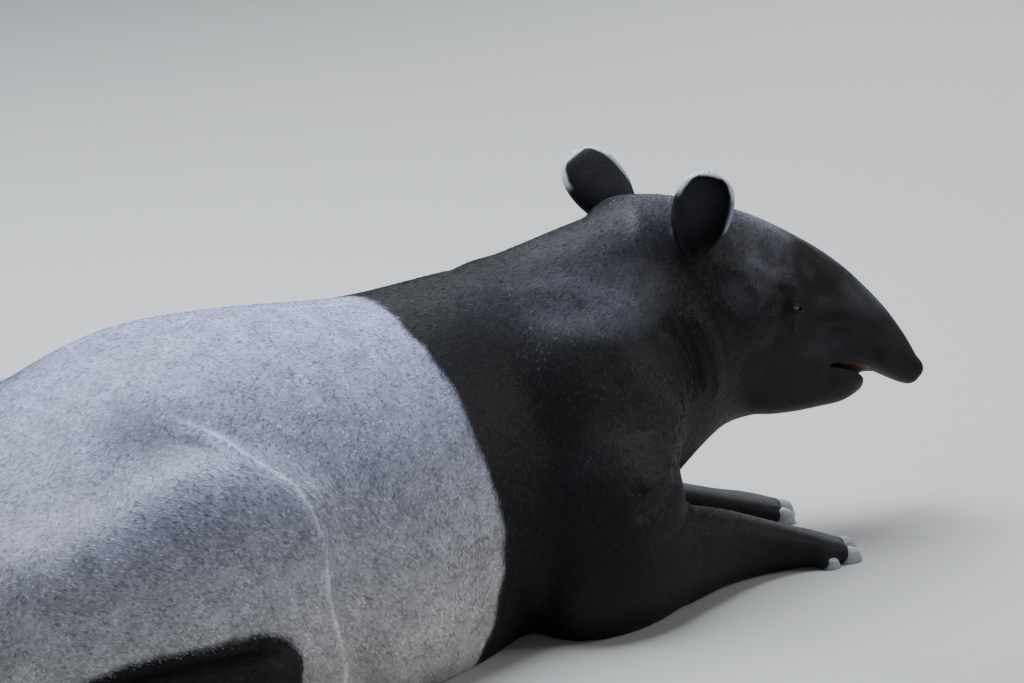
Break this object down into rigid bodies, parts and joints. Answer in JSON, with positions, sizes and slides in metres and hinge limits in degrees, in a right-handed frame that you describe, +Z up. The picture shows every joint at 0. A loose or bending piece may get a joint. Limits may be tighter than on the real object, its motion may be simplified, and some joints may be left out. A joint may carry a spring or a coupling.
{
  "type": "tapir",
  "caption": "Life-size Malayan tapir lying on its chest, forelegs stretched forward, hind legs folded, head turned a little to the right.",
  "frame": {"origin": "on the ground under the flat of the belly, midway between the two sides of the trunk", "axes": "+X towards the head, +Y to the animal's left, +Z up"},
  "size_m": [2.0965, 0.8172, 0.6229],
  "materials": {
    "black_hide": "short glossy black fur",
    "pale_hide": "short matt greyish white fur",
    "horn": "smooth grey horn",
    "eye": "wet dark brown"
  },
  "bodies": {
    "root": {"ear_left": "black_hide", "ear_right": "black_hide", "eye_left": "eye", "eye_right": "eye", "forefoot_left": "black_hide", "forefoot_right": "black_hide", "foreleg_left": "black_hide", "foreleg_right": "black_hide", "head": "black_hide", "hindfoot_left": "black_hide", "hindfoot_right": "black_hide", "hindleg_left": "pale_hide", "hindleg_right": "pale_hide", "hoof_fore_left_1": "horn", "hoof_fore_left_2": "horn", "hoof_fore_left_3": "horn", "hoof_fore_left_4": "horn", "hoof_fore_right_1": "horn", "hoof_fore_right_2": "horn", "hoof_fore_right_3": "horn", "hoof_fore_right_4": "horn", "hoof_hind_left_1": "horn", "hoof_hind_left_2": "horn", "hoof_hind_left_3": "horn", "hoof_hind_right_1": "horn", "hoof_hind_right_2": "horn", "hoof_hind_right_3": "horn", "neck": "black_hide", "tail": "pale_hide", "torso": "pale_hide"}
  },
  "joints": []
}
